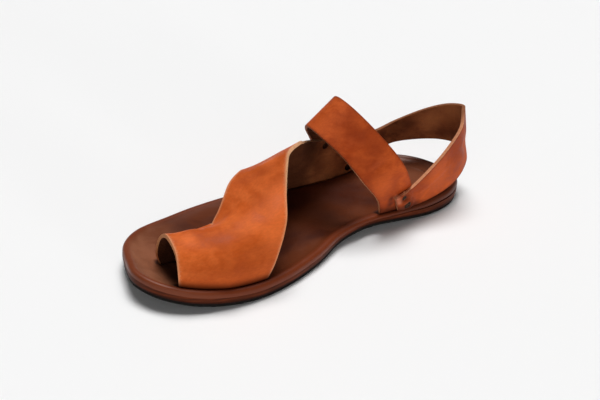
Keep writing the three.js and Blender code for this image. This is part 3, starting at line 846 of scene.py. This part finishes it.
def new_group(name, inputs, outputs):
    """A shader node group with named sockets: its maker, its input sockets and a way to its outputs."""
    tree = bpy.data.node_groups.new(name, "ShaderNodeTree")
    for label, start in inputs:
        socket = tree.interface.new_socket(name=label, in_out="INPUT", socket_type="NodeSocketFloat")
        socket.default_value = start
    for label in outputs:
        tree.interface.new_socket(name=label, in_out="OUTPUT", socket_type="NodeSocketFloat")
    entry = tree.nodes.new("NodeGroupInput").outputs
    leave = tree.nodes.new("NodeGroupOutput").inputs
    return Finish(tree), entry, leave


def make_mottle_group():
    """Soft dye patches, finer clouds and short fibres along the shoe."""
    finish, entry, leave = new_group(
        "hide_mottle", [("Patch Scale", 40.0), ("Cloud Scale", 160.0)], ["Patches", "Clouds", "Fibres"])
    patches = finish.noise(entry["Patch Scale"], 3.0, 0.5, finish.place(), 0.6)
    clouds = finish.noise(entry["Cloud Scale"], 5.0, 0.6, finish.place((1, 1, 1.6)), 0.3)
    fibres = finish.noise(900.0, 3.0, 0.6, finish.place((1, 0.35, 1)))
    finish.set(leave["Patches"], finish.spread(patches, 0.36, 0.64))
    finish.set(leave["Clouds"], finish.spread(clouds, 0.32, 0.68))
    finish.set(leave["Fibres"], finish.spread(fibres, 0.3, 0.7))
    return finish.tree


def make_grain_group():
    """Height of the grain: fine pores over softer wrinkles."""
    finish, entry, leave = new_group("hide_grain", [("Pores", 1.0), ("Wrinkles", 1.0)], ["Height"])
    cells = finish.add("TexVoronoi", {"Vector": finish.place(), "Scale": 1500.0}, feature="SMOOTH_F1")
    pores = finish.times(cells.outputs["Distance"], entry["Pores"])
    folds = finish.noise(220.0, 4.0, 0.55, finish.place((1, 0.6, 1)), 0.8)
    finish.set(leave["Height"], finish.sum(pores, finish.times(folds, entry["Wrinkles"])))
    return finish.tree


def make_edge_group():
    """One at a strap's cut edge, and a ragged fall to nothing within the reach, in millimetres."""
    finish, entry, leave = new_group("edge_wear_and_shade", [("Reach", 2.0)], ["Edge"])
    ragged = finish.spread(finish.noise(2000.0, 3.0, 0.55, finish.place()), 0.3, 0.7, 0.5, 1.5)
    away = finish.times(finish.mark("cut"), ragged)
    finish.set(leave["Edge"], finish.spread(away, 0.0, entry["Reach"], 1.0, 0.0))
    return finish.tree


def new_material(name, roughness, **sockets):
    """A material, its finish and its shader, with values that are the same all over."""
    material = bpy.data.materials.new(name)
    material.use_nodes = True
    shader = material.node_tree.nodes["Principled BSDF"]
    shader.inputs["Roughness"].default_value = roughness
    for key, value in sockets.items():
        shader.inputs[key.replace("_", " ")].default_value = value
    return material, Finish(material.node_tree), shader


def add_bump(finish, shader, height, strength, distance):
    bump = finish.add("Bump", {"Strength": strength, "Distance": distance, "Height": height})
    finish.set(shader.inputs["Normal"], bump.outputs["Normal"])


# Colours of the leathers, the rubber and the rivets, as linear light
VAMP_LIGHT = (0.67, 0.137, 0.026)
VAMP_BODY = (0.55, 0.096, 0.014)
VAMP_DARK = (0.38, 0.058, 0.007)
# Painted highlight for the vamp's ridges
VAMP_HIGHLIGHT = (0.74, 0.155, 0.034)
STRAP_LIGHT = (0.56, 0.098, 0.018)
STRAP_BODY = (0.42, 0.062, 0.009)
STRAP_DARK = (0.24, 0.030, 0.006)
# Dark line at the straps' cut edges, partly painted shade where an edge turns from the light
STRAP_EDGE = (0.10, 0.016, 0.005)
# Painted highlight for the heel strap's puckered end
STRAP_PINK_HIGHLIGHT = (0.62, 0.22, 0.12)
# Painted shade at the straps' feet, round the rivets and under the strap's end, with some dirt at the feet
STRAP_SHADE_AND_DIRT = (0.085, 0.016, 0.006)
# Painted light inside the straps
FLESH_LIT = (0.58, 0.20, 0.07)
FLESH_LIGHT = (0.42, 0.135, 0.045)
FLESH_DARK = (0.20, 0.055, 0.020)
# Painted shade inside the straps
FLESH_SHADE = (0.055, 0.016, 0.007)
CUT_PALE = (0.74, 0.40, 0.21)
CUT_TAN = (0.55, 0.22, 0.085)
CUT_WARM = (0.62, 0.26, 0.13)
CUT_DARK = (0.36, 0.12, 0.045)
CUT_BROWN = (0.20, 0.070, 0.028)
# Painted light on the footbed at the toe and at the heel
BED_TOE_LIT = (0.270, 0.100, 0.050)
BED_HEEL_LIT = (0.185, 0.055, 0.023)
BED_LIGHT = (0.122, 0.029, 0.010)
BED_DARK = (0.058, 0.012, 0.005)
# Painted shade on footbed and sole's side, with some dirt by the grooves
SOLE_SHADE_AND_DIRT = (0.020, 0.005, 0.003)
RIM_RED = (0.165, 0.031, 0.009)
RIM_DARK = (0.050, 0.012, 0.005)
RUBBER_BLACK = (0.009, 0.008, 0.007)
RUBBER_DUSTY = (0.022, 0.019, 0.016)
RIVET_DARK = (0.022, 0.011, 0.007)
RIVET_BARE = (0.085, 0.042, 0.025)

# Stretches over which a colour fades in, from and to in millimetres of the frame
HEEL_STRAP_ALONG = (100, 50)
# Where the painted shade and dirt at the straps' feet fades in
STRAP_FOOT_SHADE_ALONG = (20, 35)
# Where the painted shade inside the quarter fades in, towards the vamp
FLESH_SHADE_ALONG = (58, 80)
CUT_TAN_ALONG = (165, 195)
CUT_BROWN_ACROSS = (-26, -18)
# Where the painted light on the footbed fades in towards the toe, and at the heel
BED_TOE_LIT_ALONG = (165, 225)
BED_HEEL_LIT_ALONG = (50, 15)
HEEL_RIM_ALONG = (65, 35)

# Height over the rim by which the painted shade and dirt at a strap's foot has faded, in millimetres
STRAP_FOOT_SHADE_HEIGHTS = (-1.0, 6.5)

# Soft round dabs of colour, most of them painted shade and painted light: places in the frame and radii, in
# millimetres
# Painted shade in the vamp's troughs, low on its inner side and beside the toe loop
VAMP_SHADE_SPOTS = [
    ((-43.5, 187.6, 23.8), 17), ((-29.6, 195.7, 36.7), 9), ((-2.0, 143.4, 54.4), 9),
    ((3.2, 152.7, 49.1), 8), ((-22.0, 203.0, 36.0), 10),
]
# Painted highlights along the vamp's ridges
VAMP_HIGHLIGHT_SPOTS = [
    ((-25.4, 148.9, 51.3), 15), ((-34.3, 155.5, 44.1), 14), ((-40.5, 161.5, 35.0), 15),
    ((-20.2, 208.6, 37.4), 7), ((2.9, 135.1, 57.5), 9),
]
# Painted shade in and beside the instep strap's troughs
STRAP_SHADE_SPOTS = [((-13.9, 80.8, 66.8), 17), ((-5.5, 80.0, 75.0), 12), ((-23.5, 70.0, 60.0), 11)]
# Painted light on the instep strap's top and low on the inner sides of instep and heel straps
STRAP_LIT_SPOTS = [((6.1, 91.9, 70.2), 13), ((-30.1, 66.3, 35.4), 14), ((-30.2, 16.0, 28.0), 18)]
# Painted shade on the instep strap at its inner foot and under the heel strap's end
STRAP_FOOT_SHADE_SPOTS = [
    ((-27.6, 62.7, 13.5), 6), ((-27.1, 56.3, 12.5), 7), ((-27.3, 51.0, 11.5), 7),
    ((-28.9, 55.5, 18.1), 4.5), ((-29.7, 56.5, 22.5), 4),
]
# Painted highlights on the heel strap's puckered end, between its edge and the rivets
STRAP_END_HIGHLIGHT_SPOTS = [((-32.0, 51.0, 19.0), 4.5), ((-32.0, 46.0, 10.8), 4.5), ((-31.5, 53.0, 23.0), 3.5)]
# Painted shade in the dimples round the heel strap's rivets and under its end
RIVET_SHADE_SPOTS = [
    ((-31.7, 46.0, 21.6), 6.6), ((-31.6, 41.3, 14.4), 8.4), ((-31.0, 35.5, 10.5), 7.5),
    ((-31.5, 46.5, 9.8), 6.0),
]
# Painted light inside the quarter under the instep strap and inside the back of the heel strap
FLESH_LIT_SPOTS = [
    ((31.7, 54.4, 15.1), 13), ((29.5, 58.0, 27.0), 11), ((-2.3, -25.4, 55.0), 24), ((13.7, -19.6, 42.1), 13),
]
# Painted shade inside the heel strap
FLESH_SHADE_SPOTS = [((26.1, 1.5, 36.0), 16)]
CUT_BROWN_SPOTS = [((-30.0, 220.6, 22.0), 12)]
# Painted shade on the footbed in the toe loop's mouth
BED_TOE_LOOP_SHADE_SPOTS = [((-9.4, 212.6, 11.3), 9), ((-16.0, 215.0, 12.0), 8), ((-2.0, 211.0, 11.0), 7)]
# Painted shade on the footbed under the straps
BED_SHADE_SPOTS = [
    ((17.1, 66.5, 8.5), 20), ((13.2, 50.0, 8.5), 18), ((23.1, 86.0, 8.4), 14), ((4.0, 62.0, 8.5), 19),
    ((-8.0, 52.0, 8.5), 15),
]
# Painted light on the footbed between the instep strap and the vamp
BED_LIT_SPOTS = [((-1.0, 97.8, 8.7), 17), ((-8.0, 112.0, 8.7), 15)]


def heel_share(finish):
    """Where the main piece has the darker strap finish: nowhere on the vamp, all over the heel strap."""
    return finish.fade("Y", HEEL_STRAP_ALONG)


def whole_share(finish):
    """The darker strap finish all over."""
    return 1.0


def grain_leather(groups, strap_share):
    """The outer side of the straps: mottled orange dye, darker and redder on instep and heel, with painted
    shade and painted highlights.
    """
    material, finish, shader = new_material("orange_grain_leather", 0.55, Specular_IOR_Level=0.1)
    mottle = finish.group(groups["mottle"], Patch_Scale=34.0, Cloud_Scale=120.0)
    vamp = finish.blend(mottle["Clouds"], VAMP_BODY, VAMP_LIGHT)
    vamp = finish.blend(finish.times(mottle["Patches"], 0.55), vamp, VAMP_DARK)
    # Painted shade in the vamp's troughs, low on its inner side and beside the toe loop
    vamp = finish.dab(vamp, VAMP_DARK, 0.5, VAMP_SHADE_SPOTS)
    # Painted highlights on the vamp's ridges
    vamp = finish.dab(vamp, VAMP_HIGHLIGHT, 0.7, VAMP_HIGHLIGHT_SPOTS)
    strap = finish.blend(mottle["Clouds"], STRAP_BODY, STRAP_LIGHT)
    strap = finish.blend(finish.times(mottle["Patches"], 0.7), strap, STRAP_DARK)
    # Painted shade in and beside the instep strap's troughs
    strap = finish.dab(strap, STRAP_DARK, 0.55, STRAP_SHADE_SPOTS)
    # Painted light on the instep strap's top and low on the inner sides of the straps
    strap = finish.dab(strap, STRAP_LIGHT, 0.8, STRAP_LIT_SPOTS)
    # Painted shade at the instep strap's foot and under the heel strap's end
    strap = finish.dab(strap, STRAP_SHADE_AND_DIRT, 0.85, STRAP_FOOT_SHADE_SPOTS)
    # Painted highlights on the puckered strap end
    strap = finish.dab(strap, STRAP_PINK_HIGHLIGHT, 0.65, STRAP_END_HIGHLIGHT_SPOTS)
    # Painted shade round the rivets and under the strap's end
    strap = finish.dab(strap, STRAP_SHADE_AND_DIRT, 0.9, RIVET_SHADE_SPOTS)
    color = finish.blend(strap_share(finish), vamp, strap)
    fibres = finish.spread(mottle["Fibres"], 0.0, 1.0, 0.95, 1.04)
    shade = finish.add("CombineXYZ", {0: fibres, 1: fibres, 2: fibres}).outputs[0]
    color = finish.blend(1.0, color, shade, "MULTIPLY")
    # Near the cut edge: paler wear on the vamp; on instep and heel a dark line, partly painted shade where
    # the edge turns from the light
    edge = finish.group(groups["edge"], Reach=1.9)["Edge"]
    edge_tone = finish.blend(strap_share(finish), CUT_PALE, STRAP_EDGE)
    color = finish.blend(finish.times(edge, 0.5), color, edge_tone)
    # Painted shade and dirt low on each strap, where it goes into the insole
    foot = finish.spread(finish.mark("foot"), *STRAP_FOOT_SHADE_HEIGHTS, 0.95, 0.0)
    color = finish.blend(finish.times(foot, finish.fade("Y", STRAP_FOOT_SHADE_ALONG)), color, STRAP_SHADE_AND_DIRT)
    finish.set(shader.inputs["Base Color"], color)
    finish.set(shader.inputs["Roughness"], finish.spread(mottle["Clouds"], 0.0, 1.0, 0.5, 0.66))
    add_bump(finish, shader, finish.group(groups["grain"], Pores=0.35, Wrinkles=0.35)["Height"], 0.35, 0.0004)
    return material


def flesh_leather(groups):
    """The inner side of the straps: brown nap, with painted shade inside the quarter towards the vamp and
    inside the heel strap, and painted light where the straps' inside is lit.
    """
    material, finish, shader = new_material("brown_flesh_side", 0.85, Specular_IOR_Level=0.1)
    mottle = finish.group(groups["mottle"], Patch_Scale=35.0, Cloud_Scale=90.0)
    color = finish.blend(mottle["Clouds"], FLESH_DARK, FLESH_LIGHT)
    color = finish.blend(finish.times(mottle["Patches"], 0.5), color, FLESH_DARK)
    # Painted shade inside the quarter, towards and under the vamp
    color = finish.blend(finish.fade("Y", FLESH_SHADE_ALONG, 0.0, 0.9), color, FLESH_SHADE)
    # Painted light inside the quarter and the heel strap
    color = finish.dab(color, FLESH_LIT, 0.72, FLESH_LIT_SPOTS)
    # Painted shade inside the heel strap
    color = finish.dab(color, FLESH_SHADE, 0.35, FLESH_SHADE_SPOTS)
    finish.set(shader.inputs["Base Color"], color)
    add_bump(finish, shader, mottle["Fibres"], 0.6, 0.0003)
    return material


def cut_leather(groups, strap_share):
    """The cut edges: pale on the vamp, browner on instep and heel."""
    material, finish, shader = new_material("pale_cut_edge", 0.8, Specular_IOR_Level=0.25)
    mottle = finish.group(groups["mottle"], Patch_Scale=90.0, Cloud_Scale=500.0)
    pale = finish.blend(finish.fade("Y", CUT_TAN_ALONG), CUT_PALE, CUT_TAN)
    pale = finish.blend(finish.times(mottle["Clouds"], 0.35), pale, CUT_DARK)
    pale = finish.dab(pale, CUT_BROWN, 0.8, CUT_BROWN_SPOTS)
    dark = finish.blend(finish.fade("X", CUT_BROWN_ACROSS), CUT_WARM, CUT_BROWN)
    dark = finish.blend(finish.times(mottle["Clouds"], 0.5), dark, CUT_DARK)
    finish.set(shader.inputs["Base Color"], finish.blend(strap_share(finish), pale, dark))
    add_bump(finish, shader, mottle["Fibres"], 0.5, 0.0002)
    return material


def footbed_leather(groups):
    """The moulded insole: dark brown and polished, with faint rubbed streaks and a redder rim, painted light
    at toe and heel and between the straps, painted shade under the straps and in the toe loop's mouth, and
    painted shade and dirt by the grooves.
    """
    material, finish, shader = new_material(
        "brown_footbed_leather", 0.42, Specular_IOR_Level=0.1, Coat_Roughness=0.3)
    mottle = finish.group(groups["mottle"], Patch_Scale=22.0, Cloud_Scale=70.0)
    streaks = finish.spread(finish.noise(90.0, 5.0, 0.6, finish.place((1.0, 0.16, 1.0))), 0.35, 0.65)
    color = finish.blend(mottle["Patches"], BED_DARK, BED_LIGHT)
    color = finish.blend(finish.times(streaks, 0.4), color, BED_LIGHT)
    clouds = finish.spread(mottle["Clouds"], 0.0, 1.0, 0.6, 0.95)
    # Painted light on the footbed towards the toe
    color = finish.blend(finish.times(finish.fade("Y", BED_TOE_LIT_ALONG), clouds), color, BED_TOE_LIT)
    # Painted light on the footbed at the heel
    color = finish.blend(finish.fade("Y", BED_HEEL_LIT_ALONG, 0.0, 0.9), color, BED_HEEL_LIT)
    # Painted shade in the toe loop's mouth
    color = finish.dab(color, SOLE_SHADE_AND_DIRT, 0.65, BED_TOE_LOOP_SHADE_SPOTS)
    # Painted shade on the footbed under the straps
    color = finish.dab(color, BED_DARK, 0.95, BED_SHADE_SPOTS)
    # Painted light on the footbed between the straps
    color = finish.dab(color, BED_LIGHT, 0.5, BED_LIT_SPOTS)
    rim = finish.mark("rim")
    color = finish.blend(finish.spread(rim, 0.3, 0.75, 0.0, 0.8), color, RIM_RED)
    heel_rim = finish.times(finish.fade("Y", HEEL_RIM_ALONG), finish.spread(rim, 0.3, 0.75, 0.0, 0.6))
    color = finish.blend(heel_rim, color, RIM_DARK)
    # Painted shade and dirt beside the grooves at the straps' feet
    color = finish.blend(finish.spread(finish.mark("slot"), 0.1, 0.8, 0.0, 0.95), color, SOLE_SHADE_AND_DIRT)
    finish.set(shader.inputs["Base Color"], color)
    finish.set(shader.inputs["Coat Weight"], finish.spread(rim, 0.35, 0.7, 0.0, 0.16))
    finish.set(shader.inputs["Roughness"], finish.spread(mottle["Clouds"], 0.0, 1.0, 0.34, 0.5))
    add_bump(finish, shader, finish.group(groups["grain"], Pores=0.25, Wrinkles=0.8)["Height"], 0.35, 0.0004)
    return material


def edge_leather(groups):
    """The midsole's burnished side, with painted shade towards the rubber."""
    material, finish, shader = new_material("burnished_edge", 0.5, Specular_IOR_Level=0.06)
    mottle = finish.group(groups["mottle"], Patch_Scale=60.0, Cloud_Scale=200.0)
    layers = finish.spread(finish.noise(700.0, 4.0, 0.6, finish.place((0.05, 0.05, 1.0))), 0.3, 0.7)
    color = finish.blend(layers, RIM_DARK, RIM_RED)
    color = finish.blend(finish.times(mottle["Patches"], 0.5), color, RIM_DARK)
    # Painted shade low on the sole's side, towards the rubber
    color = finish.blend(finish.spread(finish.mark("low"), 0.1, 0.9, 0.0, 0.92), color, SOLE_SHADE_AND_DIRT)
    finish.set(shader.inputs["Base Color"], color)
    add_bump(finish, shader, layers, 0.3, 0.0002)
    return material


def sole_rubber():
    """The outsole's matt black rubber, with a little dust."""
    material, finish, shader = new_material("black_rubber", 0.8, Specular_IOR_Level=0.1)
    dust = finish.spread(finish.noise(120.0, 6.0, 0.7, finish.place()), 0.5, 0.8)
    finish.set(shader.inputs["Base Color"], finish.blend(dust, RUBBER_BLACK, RUBBER_DUSTY))
    add_bump(finish, shader, finish.noise(1200.0, 3.0, 0.6, finish.place()), 0.4, 0.0002)
    return material


def rivet_metal():
    """The rivets' tarnished brass."""
    material, finish, shader = new_material("dark_rivet", 0.42, Metallic=1.0)
    tarnish = finish.spread(finish.noise(900.0, 5.0, 0.6, finish.place()), 0.35, 0.65)
    finish.set(shader.inputs["Base Color"], finish.blend(tarnish, RIVET_DARK, RIVET_BARE))
    finish.set(shader.inputs["Roughness"], finish.spread(tarnish, 0.0, 1.0, 0.55, 0.35))
    add_bump(finish, shader, tarnish, 0.3, 0.0001)
    return material


def dress_strap(piece, groups, strap_share):
    """Gives a strap's grain, flesh side and cut edge their leathers."""
    leathers = (grain_leather(groups, strap_share), flesh_leather(groups), cut_leather(groups, strap_share))
    for slot, material in enumerate(leathers):
        piece.data.materials[slot] = material


# Studio light: an even surround, and broad lamps as name, direction, strength and softness in degrees.
# The unmirrored lamp lights the leather and isn't seen in its gloss.
FLOOR_SIZE = 6
FLOOR_SHADE = (0.9, 0.9, 0.9, 1)
AMBIENT = 0.06
UNMIRRORED_LAMP = "low_side"
LAMPS = (
    ("key_left", (0.32, -0.12, 1.0), 1.06, 26),
    ("key_middle", (0.24, -0.20, 1.0), 1.33, 26),
    ("key_right", (0.14, -0.32, 1.0), 0.62, 26),
    ("low_side", (-1.0, 0.0, 0.04), 1.25, 14),
    ("front", (-0.6, 0.65, 0.3), 0.45, 40),
)


def add_studio():
    """A pale floor, a faint even surround and soft lamps."""
    select_nothing()
    bpy.ops.mesh.primitive_plane_add(size=FLOOR_SIZE)
    floor = bpy.context.object
    floor.name = "floor"
    material, _, _ = new_material("pale_floor", 0.9, Specular_IOR_Level=0.0, Base_Color=FLOOR_SHADE)
    floor.data.materials.append(material)
    world = bpy.data.worlds.new("surround")
    bpy.context.scene.world = world
    world.use_nodes = True
    background = world.node_tree.nodes["Background"]
    background.inputs["Color"].default_value = (1, 1, 1, 1)
    background.inputs["Strength"].default_value = AMBIENT
    for name, source, power, angle in LAMPS:
        bpy.ops.object.light_add(type="SUN", location=Vector(source))
        lamp = bpy.context.object
        lamp.name = name
        lamp.data.energy = power
        lamp.data.angle = math.radians(angle)
        lamp.visible_glossy = name != UNMIRRORED_LAMP
        lamp.rotation_mode = "QUATERNION"
        lamp.rotation_quaternion = (-Vector(source)).to_track_quat("-Z", "Y")
    bpy.context.scene.view_settings.view_transform = "Standard"


def add_camera():
    bpy.ops.object.camera_add()
    camera = bpy.context.object
    camera.name = "camera"
    camera.data.lens = CAMERA_LENS
    camera.data.sensor_width = 36
    camera.data.clip_start = 0.01
    back = CAMERA_RIGHT.cross(CAMERA_UP)
    turn = Matrix((CAMERA_RIGHT, CAMERA_UP, back)).transposed()
    camera.matrix_world = Matrix.LocRotScale(CAMERA_PLACE * MM, turn.to_quaternion(), None)
    bpy.context.scene.camera = camera


add_camera()
add_studio()

outsole, midsole, insole = make_outsole(), make_midsole(), make_insole()
vamp, instep, feet = make_upper()
press_grooves(insole, feet)
mark_rim(insole)
mark_low(midsole)
for layer in (outsole, midsole, insole):
    smooth(layer, SOLE_SMOOTH_ANGLE)

own(outsole, "outsole", "outsole")
own(midsole, "midsole", "midsole")
own(insole, "insole", "insole")
own(vamp, "upper", "upper")
own(instep, "upper", "upper")

groups = {"mottle": make_mottle_group(), "grain": make_grain_group(), "edge": make_edge_group()}
outsole.data.materials.append(sole_rubber())
midsole.data.materials.append(edge_leather(groups))
insole.data.materials.append(footbed_leather(groups))
dress_strap(vamp, groups, heel_share)
dress_strap(instep, groups, whole_share)
rivet = rivet_metal()
for name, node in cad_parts.items():
    if "rivet" in name:
        node.data.materials.clear()
        node.data.materials.append(rivet)
